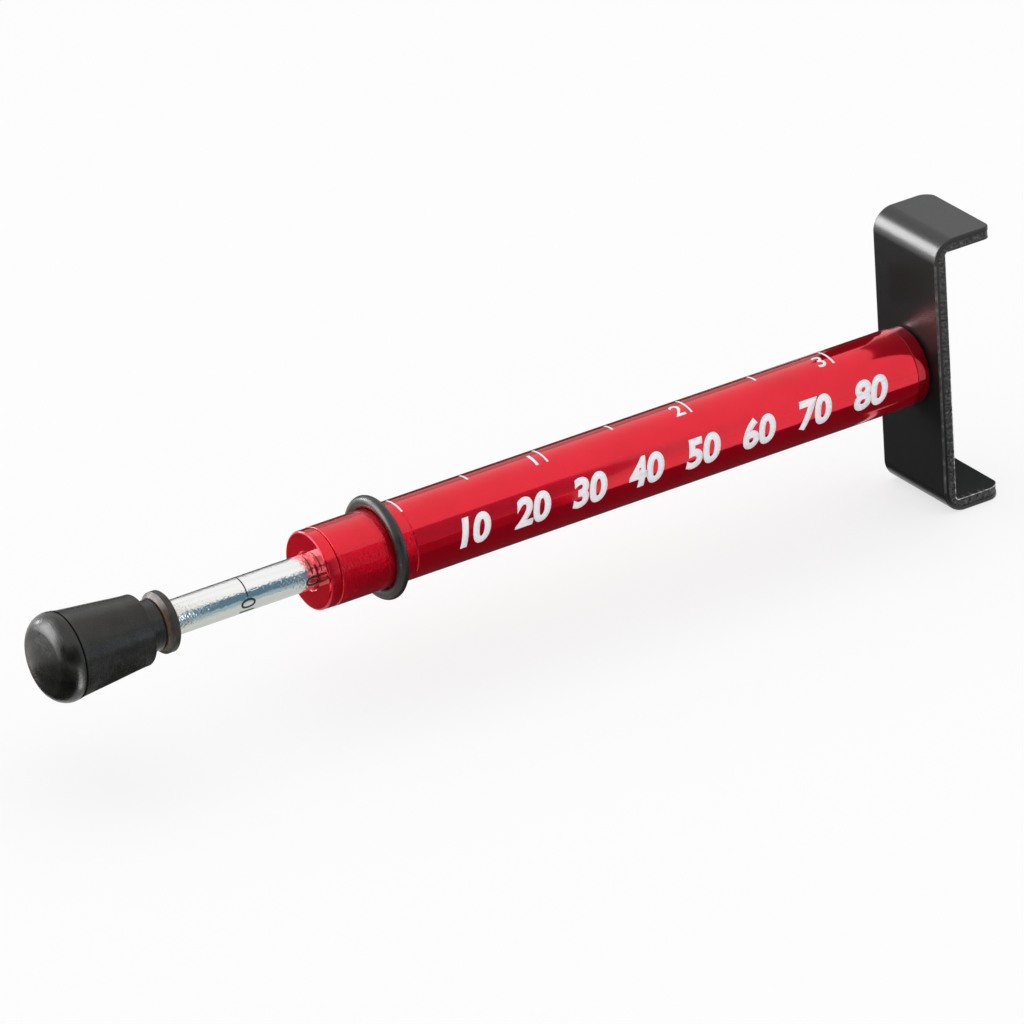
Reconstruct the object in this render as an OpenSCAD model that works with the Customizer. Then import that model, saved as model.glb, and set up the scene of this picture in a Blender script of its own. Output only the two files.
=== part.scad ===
// Belt tension tester, hand-held pencil type.
// A sprung plunger with a rubber thumb cap slides in a tube that carries a belt hook at its far end.
// X runs along the tube towards the hook, and Z along the hook's long side.
// The origin is on the tube's axis, on the hook face that sits on the belt.

/* [Hook] */
// Width of the steel strip
strip_w = 15.8; // [12:0.1:24]
// Thickness of the steel strip
strip_t = 2; // [1.6:0.1:3]
// Clear height between the two flanges
hook_gap = 40.4; // [30:0.2:60]
// Reach of the flanges past the belt face
flange_reach = 8.3; // [6:0.1:16]
// Inside radius of the two bends
bend_r = 0.6; // [0.3:0.1:1.5]
// Outside radius of the two bends
bend_out = 3.5; // [2.5:0.1:5]
// Corner radius of the flange tips on the scale's side
tip_near_r = 0.7; // [0.3:0.1:4]
// Corner radius of the flange tips on the other side
tip_far_r = 2.2; // [0.3:0.1:4]

/* [Hook screw] */
// Thread diameter of the countersunk screw
screw_d = 4; // [3:0.1:4.4]
// Length of the screw below the belt face
screw_len = 9; // [6:0.5:11]
// Depth of the cross recess in the screw's head
recess_depth = 1.1; // [0.6:0.1:1.3]
// Width of the arms of the cross recess
recess_w = 0.9; // [0.6:0.1:1.2]

/* [Barrel] */
// Outside diameter of the tube
barrel_d = 12.1; // [11.5:0.1:16]
// Wall of the tube
barrel_wall = 1; // [0.6:0.05:1.3]
// Length of the tube
barrel_len = 101.7; // [90:0.1:140]
// Distance of the scribed zero line from the tube's front end
zero_from_front = 13; // [8:0.1:25]
// Width of the scribed zero line
zero_line_w = 0.24; // [0.1:0.02:0.6]
// Depth of the scribed zero line
zero_line_depth = 0.08; // [0.04:0.02:0.3]

/* [End fittings] */
// Thickness of the front cap's flange
front_flange_t = 2.1; // [1.2:0.1:5]
// Length of the front cap's spigot inside the tube
front_spigot_len = 8; // [4:0.5:12]
// Thickness of the rear plug's flange
plug_flange_t = 2.4; // [1.2:0.1:5]
// Length of the rear plug's spigot inside the tube
plug_spigot_len = 7.5; // [6:0.5:14]
// Chamfer of the rear plug's flange beside the hook
plug_chamfer = 0.5; // [0.1:0.1:1]
// Length of the boss that centres the spring on the rear plug
boss_len = 4; // [2:0.5:8]
// Step of the rear flange below the tube's surface
plug_inset = 0.15; // [0.05:0.05:0.5]
// Step of the front flange below the tube's surface
front_inset = 0.05; // [0.05:0.05:0.5]
// Chamfer on the turned edges
edge_break = 0.2; // [0.1:0.05:0.4]
// Chamfer at the mouth of the front cap's bore
mouth_chamfer = 0.35; // [0.1:0.05:0.8]

/* [Plunger] */
// Diameter of the plated rod
rod_d = 5.3; // [4.4:0.1:6]
// Length of rod between the front cap and the rubber cap at rest
rod_out = 26.4; // [18:0.2:45]
// Depth of the rod in the rubber cap
rod_in_cap = 13.2; // [6:0.2:14.4]
// Length of the rod's tail past the piston
rod_tail = 5; // [1:0.5:12]
// Length of the piston
piston_len = 6; // [3:0.5:12]
// Thickness of the spring clip that holds the piston
clip_t = 0.8; // [0.5:0.1:1.2]
// Diameter of the spring clip
clip_d = 8.6; // [7.4:0.1:9]
// Depth of the clip's groove in the rod
groove_depth = 0.5; // [0.3:0.05:0.8]
// Thickness of the rubber buffer behind the front cap
buffer_t = 1.2; // [0.6:0.1:3]

/* [Spring] */
// Diameter of the spring's wire
wire_d = 1.3; // [0.8:0.05:1.4]
// Number of coils that work
active_coils = 15; // [8:1:20]
// Thickness of the steel washer behind the spring
washer_t = 0.8; // [0.5:0.1:1.5]

/* [Rubber cap] */
// Diameter of the cap at its moulding seam
cap_d = 13.1; // [11:0.1:20]
// Diameter of the cap at its shoulder
shoulder_d = 10.5; // [9.6:0.1:13]
// Diameter of the cap's neck
neck_d = 7.7; // [7:0.1:9]
// Length from the seam to the shoulder
cap_body_len = 12.6; // [12:0.1:20]
// Length of the neck
neck_len = 2.7; // [1.5:0.1:6]
// Height of the rounded end beyond the seam
dome_h = 4.1; // [3:0.1:6]
// How far the rounded end swells past the seam's radius
dome_swell = 0.2; // [0:0.05:0.5]
// Height of the shallow crown on the rounded end
crown_h = 0.3; // [0.1:0.05:0.8]
// Radius of the moulding bead at the seam and at the shoulder
bead_r = 0.25; // [0.15:0.05:0.4]

/* [Marker rings] */
// Section of the large ring that marks deflection on the tube
large_section = 1.8; // [1.2:0.1:3]
// Distance of the large ring's middle from the tube's front end at rest
large_from_front = 9.7; // [3:0.1:40]
// Width of the small ring that marks force on the rod
small_w = 1.8; // [1.2:0.1:3]
// Height of the small ring above the rod
small_h = 1.95; // [1.2:0.05:3]
// Bevel of the small ring beside the cap's neck
small_bevel = 0.7; // [0.2:0.1:1]

/* [Fits] */
// Radial clearance of pieces that are fixed in each other
seat_gap = 0.02; // [0.01:0.01:0.05]
// Radial clearance of pieces that slide in each other
slide_gap = 0.05; // [0.02:0.01:0.1]
// Radial room between the spring and the tube
spring_gap = 0.45; // [0.3:0.05:0.8]
// End gap between pieces that meet at the end of a stroke
stop_gap = 0.05; // [0.02:0.01:0.2]

/* [Hidden] */
$fn = 96;

// How far a cutting shape runs past the face that it cuts
over = 1;

// Hook
hook_h = hook_gap + 2 * strip_t;

// Screw: the head lies a little below the belt face, and its cone ends above the far face
head_sink = 0.15;
head_land = 0.2;
head_throat = 0.15;
head_cone = strip_t - head_sink - head_land - head_throat;
screw_r = screw_d / 2;
head_r = screw_r + head_cone;
recess_r = head_r * 0.62;
screw_lead = 0.4;

// Stations along the tube's axis
plug_face_x = -strip_t;
barrel_rear_x = plug_face_x - plug_flange_t;
barrel_front_x = barrel_rear_x - barrel_len;
front_face_x = barrel_front_x - front_flange_t;
zero_x = barrel_front_x + zero_from_front;
plug_end_x = barrel_rear_x - plug_spigot_len;
boss_end_x = plug_end_x - boss_len;
screw_tip_x = -screw_len;
tap_end_x = screw_tip_x - over;
front_spigot_x = barrel_front_x + front_spigot_len;
buffer_end_x = front_spigot_x + buffer_t;
clip_x = buffer_end_x + stop_gap;
piston_x = clip_x + clip_t;
piston_end_x = piston_x + piston_len;
rod_end_x = piston_end_x + rod_tail;
washer_x = plug_end_x - washer_t;
neck_end_x = front_face_x - rod_out;
rod_start_x = neck_end_x - rod_in_cap;
shoulder_x = neck_end_x - neck_len;
seam_x = shoulder_x - cap_body_len;
dome_x = seam_x - dome_h;

// Radii of pieces that fit in each other
barrel_r = barrel_d / 2;
bore_r = barrel_r - barrel_wall;
plug_flange_r = barrel_r - plug_inset;
front_flange_r = barrel_r - front_inset;
spigot_r = bore_r - seat_gap;
piston_r = bore_r - slide_gap;
rod_r = rod_d / 2;
guide_r = rod_r + slide_gap;
rod_seat_r = rod_r + seat_gap;
groove_r = rod_r - groove_depth;
buffer_r = bore_r - spring_gap;
buffer_hole_r = rod_r + spring_gap / 2;
tap_r = screw_r + seat_gap;
lead_in = 0.4;

// Spring
spring_r = bore_r - spring_gap - wire_d / 2;
boss_r = spring_r - wire_d / 2 - 0.3;
washer_hole_r = boss_r + seat_gap;
washer_r = bore_r - spring_gap / 2;
spring_front_x = piston_end_x + seat_gap + wire_d / 2;
spring_rear_x = washer_x - seat_gap - wire_d / 2;
end_pitch = wire_d * 1.04;
spring_turns = active_coils + 2;
active_pitch = (spring_rear_x - spring_front_x - 2 * end_pitch) / active_coils;
wire_sides = 8;
wire_steps = 14;
wire_corner_r = wire_d / 2 / cos(180 / wire_sides);

// Rubber cap
cap_r = cap_d / 2;
shoulder_r = shoulder_d / 2;
neck_r = neck_d / 2;
dome_edge_r = 0.7 * dome_h;
dome_edge_x = dome_x + crown_h + dome_edge_r;
crown_half = cap_r + dome_swell - dome_edge_r;
crown_r = (crown_half * crown_half + crown_h * crown_h) / (2 * crown_h);

// Rings
large_x = barrel_front_x + large_from_front;
large_mid_r = barrel_r + slide_gap + large_section / 2;
small_x = neck_end_x + stop_gap;
small_in_r = rod_r + slide_gap;
small_out_r = small_in_r + small_h;
small_edge = small_bevel / 5;

// Revolves an outline about the tube's axis: outline X is the radius, outline Y the place along the axis
module turned() {
    rotate([0, 90, 0])
        rotate_extrude()
            children();
}

// Outline of a turned sleeve with chamfered outer edges
module sleeve_outline(x0, x1, inner_r, outer_r, chamfer) {
    polygon([
        [inner_r, x0],
        [outer_r - chamfer, x0],
        [outer_r, x0 + chamfer],
        [outer_r, x1 - chamfer],
        [outer_r - chamfer, x1],
        [inner_r, x1],
    ]);
}

// Rectangle from x0 to x1 whose two corners at x0 are rounded
module round_start(x0, x1, height, r) {
    translate([x0 + r, -height / 2])
        square([x1 - x0 - r, height]);
    translate([x0, r - height / 2])
        square([r, height - 2 * r]);
    for (side = [-1, 1])
        translate([x0 + r, side * (height / 2 - r)])
            circle(r);
}

// Side view of the bent strip
module hook_side() {
    difference() {
        round_start(plug_face_x, flange_reach, hook_h, bend_out);
        round_start(0, flange_reach + over, hook_gap, bend_r);
    }
}

// Half of the strip's plan view on one side, with a rounded flange tip
module hook_plan_half(side, tip_r) {
    translate([flange_reach, 0])
        mirror([1, 0])
            intersection() {
                round_start(0, flange_reach + strip_t + over, strip_w, tip_r);
                translate([0, min(side, 0) * strip_w])
                    square([flange_reach + strip_t + over, strip_w]);
            }
}

// Plan view of the strip, whose tips are rounder on one side
module hook_plan() {
    hook_plan_half(-1, tip_near_r);
    hook_plan_half(1, tip_far_r);
}

// Countersunk hole in the web, parallel to the screw's head
module screw_hole() {
    turned()
        polygon([
            [0, over],
            [head_r + seat_gap, over],
            [head_r + seat_gap, -head_sink - head_land],
            [screw_r + seat_gap, -head_sink - head_land - head_cone],
            [screw_r + seat_gap, plug_face_x - over],
            [0, plug_face_x - over],
        ]);
}

// Bent strip hook that sits on the belt
module hook_bracket() {
    color([0.1, 0.1, 0.11])
        difference() {
            intersection() {
                rotate([90, 0, 0])
                    linear_extrude(strip_w + over, center = true)
                        hook_side();
                linear_extrude(hook_h + over, center = true)
                    hook_plan();
            }
            screw_hole();
        }
}

// Cross recess for a screwdriver, narrowing towards its floor
module cross_recess() {
    intersection() {
        turned()
            polygon([
                [0, -head_sink - recess_depth],
                [recess_w / 2, -head_sink - recess_depth],
                [recess_r, -head_sink],
                [recess_r, over],
                [0, over],
            ]);
        for (turn = [0, 90])
            rotate([turn, 0, 0])
                translate([-head_sink - recess_depth - over, -recess_w / 2, -head_r])
                    cube([recess_depth + 2 * over, recess_w, 2 * head_r]);
    }
}

// Countersunk screw that holds the hook on the rear plug
module hook_screw() {
    color([0.55, 0.56, 0.58])
        difference() {
            turned()
                polygon([
                    [0, screw_tip_x],
                    [screw_r - screw_lead, screw_tip_x],
                    [screw_r, screw_tip_x + screw_lead],
                    [screw_r, -head_sink - head_land - head_cone],
                    [head_r, -head_sink - head_land],
                    [head_r, -head_sink],
                    [0, -head_sink],
                ]);
            cross_recess();
        }
}

// Rear plug: flange, spigot in the tube, boss for the spring and tapped hole for the screw
module rear_plug() {
    color([0.72, 0.05, 0.09])
        turned()
            polygon([
                [0, boss_end_x],
                [boss_r - lead_in, boss_end_x],
                [boss_r, boss_end_x + lead_in],
                [boss_r, plug_end_x],
                [spigot_r - lead_in, plug_end_x],
                [spigot_r, plug_end_x + lead_in],
                [spigot_r, barrel_rear_x],
                [plug_flange_r, barrel_rear_x],
                [plug_flange_r, plug_face_x - plug_chamfer],
                [plug_flange_r - plug_chamfer, plug_face_x],
                [tap_r, plug_face_x],
                [tap_r, tap_end_x],
                [0, tap_end_x],
            ]);
}

// Anodised tube with the scribed zero line
module barrel() {
    color([0.8, 0.05, 0.1])
        turned()
            polygon([
                [bore_r, barrel_front_x],
                [barrel_r - edge_break, barrel_front_x],
                [barrel_r, barrel_front_x + edge_break],
                [barrel_r, zero_x - zero_line_w / 2],
                [barrel_r - zero_line_depth, zero_x],
                [barrel_r, zero_x + zero_line_w / 2],
                [barrel_r, barrel_rear_x - edge_break],
                [barrel_r - edge_break, barrel_rear_x],
                [bore_r, barrel_rear_x],
            ]);
}

// Front cap: flange, spigot in the tube and the bore that guides the rod
module front_cap() {
    color([0.72, 0.05, 0.09])
        turned()
            polygon([
                [guide_r + mouth_chamfer, front_face_x],
                [front_flange_r - edge_break, front_face_x],
                [front_flange_r, front_face_x + edge_break],
                [front_flange_r, barrel_front_x],
                [spigot_r, barrel_front_x],
                [spigot_r, front_spigot_x - lead_in],
                [spigot_r - lead_in, front_spigot_x],
                [guide_r, front_spigot_x],
                [guide_r, front_face_x + mouth_chamfer],
            ]);
}

// Rubber washer that takes the plunger's return
module return_buffer() {
    color([0.12, 0.12, 0.12])
        turned()
            sleeve_outline(front_spigot_x, buffer_end_x, buffer_hole_r, buffer_r, edge_break);
}

// Steel washer between the spring and the rear plug
module spring_washer() {
    color([0.6, 0.61, 0.63])
        turned()
            sleeve_outline(washer_x, plug_end_x, washer_hole_r, washer_r, edge_break);
}

// Place of the wire's middle along the axis after a number of turns: one closed coil at each end
function wire_x(turn) =
    turn < 1 ? spring_front_x + end_pitch * turn :
    turn > spring_turns - 1 ? spring_rear_x - end_pitch * (spring_turns - turn) :
    spring_front_x + end_pitch + active_pitch * (turn - 1);

// Corner of the wire's section on one step of the coil
function wire_corner(step, side) =
    let (
        turn = step / wire_steps,
        around = 360 * turn,
        corner = 360 * (side + 0.5) / wire_sides,
        r = spring_r + wire_corner_r * cos(corner)
    )
    [wire_x(turn) + wire_corner_r * sin(corner), r * cos(around), r * sin(around)];

// Compression spring with closed ends
module main_spring() {
    steps = spring_turns * wire_steps;
    points = [
        for (step = [0 : steps])
            for (side = [0 : wire_sides - 1])
                wire_corner(step, side)
    ];
    walls = [
        for (step = [0 : steps - 1])
            for (side = [0 : wire_sides - 1])
                let (
                    next = (side + 1) % wire_sides,
                    here = step * wire_sides,
                    ahead = here + wire_sides
                )
                each [
                    [here + side, here + next, ahead + next],
                    [here + side, ahead + next, ahead + side],
                ]
    ];
    first_end = [for (side = [wire_sides - 1 : -1 : 0]) side];
    last_end = [for (side = [0 : wire_sides - 1]) steps * wire_sides + side];
    color([0.62, 0.63, 0.65])
        polyhedron(points, concat(walls, [first_end, last_end]), convexity = 10);
}

// Plated rod with the groove for the piston's clip
module plunger_rod() {
    color([0.78, 0.8, 0.82])
        turned()
            polygon([
                [0, rod_start_x],
                [rod_r - lead_in, rod_start_x],
                [rod_r, rod_start_x + lead_in],
                [rod_r, clip_x - seat_gap],
                [groove_r, clip_x - seat_gap],
                [groove_r, piston_x],
                [rod_r, piston_x],
                [rod_r, rod_end_x - lead_in],
                [rod_r - lead_in, rod_end_x],
                [0, rod_end_x],
            ]);
}

// Brass piston that guides the rod's inner end and carries the spring
module piston() {
    color([0.75, 0.6, 0.3])
        turned()
            sleeve_outline(piston_x, piston_end_x, rod_seat_r, piston_r, edge_break);
}

// Three-pronged spring clip in the rod's groove
module piston_clip() {
    clip_r = clip_d / 2;
    hold_r = groove_r + seat_gap;
    relief_r = (clip_r + hold_r) / 2;
    mouth_w = 1.7 * hold_r;
    relief_d = clip_r - hold_r;
    color([0.3, 0.31, 0.33])
        translate([clip_x, 0, 0])
            rotate([0, 90, 0])
                linear_extrude(clip_t)
                    difference() {
                        circle(clip_r);
                        circle(hold_r);
                        translate([0, -mouth_w / 2])
                            square([clip_d, mouth_w]);
                        for (turn = [120, 240])
                            rotate(turn)
                                translate([hold_r, 0])
                                    circle(relief_d / 2);
                    }
}

// Half outline of the rubber cap, without its bore
module cap_outline() {
    polygon([
        [0, seam_x],
        [cap_r, seam_x],
        [shoulder_r, shoulder_x],
        [neck_r, shoulder_x],
        [neck_r, neck_end_x],
        [0, neck_end_x],
    ]);
    for (bead = [[cap_r, seam_x], [shoulder_r, shoulder_x]])
        translate([bead[0] - bead_r / 2, bead[1]])
            circle(bead_r);
    intersection() {
        translate([crown_half, dome_edge_x])
            circle(dome_edge_r);
        translate([crown_half, dome_x + crown_h])
            square([dome_edge_r, dome_h - crown_h]);
    }
    intersection() {
        translate([0, dome_x + crown_r])
            circle(crown_r, $fn = 360);
        translate([0, dome_x])
            square([crown_half, dome_h]);
    }
}

// Rubber thumb cap with a blind bore for the rod
module rubber_cap() {
    color([0.09, 0.09, 0.09])
        turned()
            difference() {
                cap_outline();
                translate([-over, rod_start_x])
                    square([rod_seat_r + over, rod_in_cap + over]);
            }
}

// Large round ring that marks the deflection on the tube
module deflection_ring() {
    color([0.1, 0.1, 0.1])
        turned()
            translate([large_mid_r, large_x])
                circle(large_section / 2);
}

// Small ring with a square section and one bevelled side that marks the force on the rod
module force_ring() {
    color([0.2, 0.15, 0.12])
        turned()
            polygon([
                [small_in_r, small_x],
                [small_out_r - small_bevel, small_x],
                [small_out_r, small_x + small_bevel],
                [small_out_r, small_x + small_w - small_edge],
                [small_out_r - small_edge, small_x + small_w],
                [small_in_r, small_x + small_w],
            ]);
}

hook_bracket();
hook_screw();
rear_plug();
barrel();
front_cap();
return_buffer();
spring_washer();
main_spring();
plunger_rod();
piston();
piston_clip();
rubber_cap();
deflection_ring();
force_ring();
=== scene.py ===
import math
from functools import partial

import bmesh
import bpy
from mathutils import Matrix, Vector, noise


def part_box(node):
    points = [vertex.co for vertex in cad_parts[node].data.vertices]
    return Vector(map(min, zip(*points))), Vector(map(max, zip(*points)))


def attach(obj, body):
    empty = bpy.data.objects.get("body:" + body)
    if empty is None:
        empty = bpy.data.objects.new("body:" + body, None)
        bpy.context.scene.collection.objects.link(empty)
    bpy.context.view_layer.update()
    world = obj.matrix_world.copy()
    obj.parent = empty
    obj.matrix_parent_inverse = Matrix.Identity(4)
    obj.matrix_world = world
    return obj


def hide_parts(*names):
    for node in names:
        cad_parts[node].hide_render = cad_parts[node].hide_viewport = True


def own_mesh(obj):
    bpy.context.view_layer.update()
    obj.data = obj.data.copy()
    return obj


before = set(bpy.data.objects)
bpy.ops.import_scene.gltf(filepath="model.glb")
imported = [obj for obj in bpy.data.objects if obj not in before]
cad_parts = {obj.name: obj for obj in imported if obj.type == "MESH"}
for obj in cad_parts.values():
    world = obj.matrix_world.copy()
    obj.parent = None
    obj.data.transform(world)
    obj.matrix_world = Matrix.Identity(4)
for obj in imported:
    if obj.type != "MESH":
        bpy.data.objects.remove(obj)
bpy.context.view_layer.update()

# Hook bracket
# A strip of mild steel sheared to length, bent to a C in a press and painted satin black.
# Its sheared edges stay rough under the paint, which is scuffed thin along the corners. The paler corners
# along the web and bends are part that scuffing and part painted highlight, and the near-white in the inner
# bends is a painted glint.
mm = 0.001
hook_low, hook_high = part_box("hook_bracket")
strip_thick = -hook_low.x
strip_half = hook_high.y
bend_inside = 0.6 * mm
bend_outside = 3.5 * mm
near_corner = 1.2 * mm
low_near_corner = 2.4 * mm
far_corner = 2.2 * mm
tip_edge = 0.2 * mm
face_corner = 0.24 * mm
burr_corner = 0.12 * mm
smooth_shear = 0.72 * mm
shear_step = 0.04 * mm
shear_depth = 0.2 * mm
run_step = 0.11 * mm
# Paleness of the paint at the corners: in the bends and along the web it is part scuffed paint and part
# painted highlight, and in the inner bends a near-white painted glint.
bend_wear_and_highlight, web_wear_and_highlight = 0.3, 0.6
burr_wear, inner_bend_glint, lower_pale_corner = 0.5, 2.2, 1.0


def add_piece(name, mesh, *materials):
    """A piece with its place in its mesh and its object at the origin."""
    piece = bpy.data.objects.new(name, mesh)
    bpy.context.scene.collection.objects.link(piece)
    for material in materials:
        mesh.materials.append(material)
    return piece


def shader_of(material):
    return material.node_tree.nodes["Principled BSDF"]


def finish(name, colour, metallic, roughness):
    """A material of one colour and roughness, to be given its grain afterwards."""
    material = bpy.data.materials.new(name)
    material.use_nodes = True
    shader = shader_of(material)
    shader.inputs["Base Color"].default_value = (*colour, 1)
    shader.inputs["Metallic"].default_value = metallic
    shader.inputs["Roughness"].default_value = roughness
    return material


def feed(tree, value, socket):
    """Links a node's output to an input, or sets the input to a plain value."""
    if isinstance(value, bpy.types.NodeSocket):
        tree.links.new(value, socket)
    else:
        socket.default_value = value


def add_node(tree, kind, **inputs):
    """The outputs of a new node whose named inputs are fed with the given values."""
    node = tree.nodes.new(kind)
    for label, value in inputs.items():
        feed(tree, value, node.inputs[label.replace("_", " ").title()])
    return node.outputs


def node_sum(tree, operation, first, second=0.0):
    """One sum of two values, each a number or a node's output."""
    node = tree.nodes.new("ShaderNodeMath")
    node.operation = operation
    feed(tree, first, node.inputs[0])
    feed(tree, second, node.inputs[1])
    return node.outputs["Value"]


def grain(material, per_mm, stretch=(1, 1, 1), detail=3.0, rough=0.55):
    """Noise in the piece's own coordinates, with about so many grains to a millimetre."""
    tree = material.node_tree
    place = add_node(tree, "ShaderNodeTexCoord")["Object"]
    scaled = add_node(tree, "ShaderNodeMapping", vector=place, scale=stretch)["Vector"]
    pattern = {"scale": per_mm / mm, "detail": detail, "roughness": rough}
    return add_node(tree, "ShaderNodeTexNoise", vector=scaled, **pattern)["Fac"]


def remap(material, value, low, high, from_low=0.3, from_high=0.7):
    """The value stretched from one range to another, without running past its ends."""
    ends = {"from_min": from_low, "from_max": from_high, "to_min": low, "to_max": high}
    return add_node(material.node_tree, "ShaderNodeMapRange", value=value, **ends)["Result"]


def drive(material, label, value):
    """Links a value to one of the shader's inputs."""
    material.node_tree.links.new(value, shader_of(material).inputs[label])


def colour_by(material, value, *stops):
    """The base colour as a ramp of (place, colour) stops along the value."""
    ramp = material.node_tree.nodes.new("ShaderNodeValToRGB")
    while len(ramp.color_ramp.elements) < len(stops):
        ramp.color_ramp.elements.new(0.5)
    for element, (place, colour) in zip(ramp.color_ramp.elements, stops):
        element.position = place
        element.color = (*colour, 1)
    material.node_tree.links.new(value, ramp.inputs["Fac"])
    drive(material, "Base Color", ramp.outputs["Color"])


def roughness_by(material, value, low, high, from_low=0.3, from_high=0.7):
    drive(material, "Roughness", remap(material, value, low, high, from_low, from_high))


def relief(material, *layers):
    """Bump from layers of (value, height in metres), each on top of the last."""
    tree = material.node_tree
    below = {}
    for value, height in layers:
        below["normal"] = add_node(tree, "ShaderNodeBump", height=value, distance=height, **below)["Normal"]
    drive(material, "Normal", below["normal"])


def worn_value(material):
    """How far the paint is scuffed at the corners and how bright their painted highlights and glints are,
    kept on the mesh.
    """
    corner_wear_and_highlight = material.node_tree.nodes.new("ShaderNodeAttribute")
    corner_wear_and_highlight.attribute_name = "wear_and_highlight"
    return corner_wear_and_highlight.outputs["Fac"]


satin_black = finish("satin_black_paint", (0.011, 0.012, 0.012), 0.0, 0.24)
peel = grain(satin_black, 3.8, detail=2.0)
flecks = grain(satin_black, 9.0, detail=2.0)
rubbed_and_highlight = node_sum(satin_black.node_tree, "MULTIPLY", worn_value(satin_black), grain(satin_black, 1.1))
# The paint's colour runs from black through scuffed grey to near-white; its top end is a painted glint.
paint_wear_and_highlight = (
    (0.0, (0.010, 0.011, 0.011)),
    (0.14, (0.018, 0.019, 0.019)),
    (0.3, (0.06, 0.061, 0.06)),
    (0.55, (0.17, 0.17, 0.165)),
    (1.0, (0.7, 0.7, 0.69)),
)
colour_by(satin_black, rubbed_and_highlight, *paint_wear_and_highlight)
roughness_by(satin_black, flecks, 0.27, 0.37)
relief(satin_black, (peel, 0.016 * mm), (flecks, 0.002 * mm))

sheared_black = finish("sheared_edge_paint", (0.03, 0.031, 0.031), 0.0, 0.4)
chips = grain(sheared_black, 2.6, detail=4.0)
sheared_tree = sheared_black.node_tree
# The sheared edges' corners take the same scuffing and painted glints.
edge_rubbed_and_highlight = node_sum(sheared_tree, "MULTIPLY", worn_value(sheared_black), grain(sheared_black, 1.3))
edge_chips = remap(sheared_black, chips, 0.05, 0.38)
colour_by(sheared_black, node_sum(sheared_tree, "ADD", edge_chips, edge_rubbed_and_highlight), *paint_wear_and_highlight)
roughness_by(sheared_black, chips, 0.3, 0.55)
relief(sheared_black, (chips, 0.07 * mm))


def hook_stations():
    """Points on the outer and inner face, their distance from the tip, and the paint's scuffing and painted
    highlight at the two corners.

    The inner corner is sharper than the outer one, so the two faces bend about different middles."""
    top, ceiling = hook_high.z, hook_high.z - strip_thick
    bend_x = bend_outside - strip_thick
    flat = hook_high.x - bend_x
    distances = {flat}
    distances.update(tip_edge * (1 - math.cos(math.radians(turn))) for turn in (0, 30, 60, 90))
    for corner in (near_corner, low_near_corner, far_corner):
        distances.update(corner * (1 - math.cos(math.radians(turn))) for turn in range(12, 91, 6))
    distances.update(run_step * step for step in range(2, int(flat / run_step)))
    half = []
    for distance in sorted(distances):
        x = hook_high.x - distance
        half.append((Vector((x, top)), Vector((x, ceiling)), distance, 0.0, 0.0))
    straight = bend_x - bend_inside
    curve = bend_inside * math.pi / 2
    bend_steps = 40
    for step in range(1, bend_steps + 1):
        turn = math.pi / 2 * (1 + step / bend_steps)
        outer = Vector((bend_x, top - bend_outside))
        outer += bend_outside * Vector((math.cos(turn), math.sin(turn)))
        way = (2 * straight + curve) * step / bend_steps
        bent = min(max(way - straight, 0), curve) / bend_inside
        inner = Vector((bend_inside * (1 - math.sin(bent)), ceiling - bend_inside * (1 - math.cos(bent))))
        inner += Vector((max(straight - way, 0), -max(way - straight - curve, 0)))
        # The inner corner within a bend gets a near-white painted glint.
        inner_wear_and_glint = inner_bend_glint if 0 < bent < math.pi / 2 else burr_wear
        half.append((outer, inner, flat, bend_wear_and_highlight, inner_wear_and_glint))
    rows = int((top - bend_outside) / run_step)
    for row in range(1, rows + 1):
        z = (top - bend_outside) * (1 - row / rows)
        half.append((Vector((-strip_thick, z)), Vector((0, z)), flat, web_wear_and_highlight, burr_wear))
    flip = Vector((1, -1))
    # In the lower half the inner-face corners are made paler.
    lower = [
        (outer * flip, inner * flip, distance, corner_wear_and_highlight, max(burr_wear_and_glint, lower_pale_corner))
        for outer, inner, distance, corner_wear_and_highlight, burr_wear_and_glint in reversed(half[:-1])
    ]
    return half + lower


def quarter(radius, steps):
    """Points of a quarter round as (back from the corner one way, back from it the other way)."""
    turns = [math.pi / 2 * step / steps for step in range(steps + 1)]
    return [(radius * (1 - math.sin(turn)), radius * (1 - math.cos(turn))) for turn in turns]


def strip_section(half, thick, corner_wear_and_highlight, burr_wear_and_glint):
    """Points of (y, rise, scuffing and painted highlight, sheared) from the outer face round one edge to the
    inner face.
    """
    fade, shear_blend = 0.1 * mm, 0.03 * mm
    inside = half - face_corner - 1.0 * mm
    shear_rows = 9
    points = [(inside, thick, 0.0, 0), (half - face_corner - fade, thick, 0.0, 0)]
    for across, down in quarter(face_corner, 4):
        points.append((half - across, thick - down, corner_wear_and_highlight, 0))
    shear_top, shear_low = thick - smooth_shear, burr_corner - thick
    points.append((half, thick - face_corner - fade, 0.0, 0))
    points.append((half, shear_top + shear_blend, 0.0, 0))
    for row in range(shear_rows + 1):
        points.append((half, shear_top + (shear_low + fade - shear_top) * row / shear_rows, 0.0, 1))
    for down, across in reversed(quarter(burr_corner, 3)):
        points.append((half - across, down - thick, burr_wear_and_glint, 1))
    points.append((half - burr_corner - fade, -thick, 0.0, 0))
    points.append((inside, -thick, 0.0, 0))
    return points


def tip_loss(distance, radius):
    """How much a rounded tip takes off the width at this distance from the tip's end."""
    back = max(radius - distance, 0.0)
    return radius - math.sqrt(radius * radius - back * back)


def torn(run, rise, side):
    """How far the torn part of the sheared edge lies below its smooth part."""
    coarse = noise.noise(Vector((run * 2.0 + rise * 0.5, rise * 0.4, side)))
    fine = noise.noise(Vector((run * 4.0 + rise * 1.0, rise * 1.2, side + 31)))
    usual, coarse_share, fine_share = 0.4, 0.7, 0.4
    return shear_step + shear_depth * min(max(usual + coarse_share * coarse + fine_share * fine, 0.0), 1.0)


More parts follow.
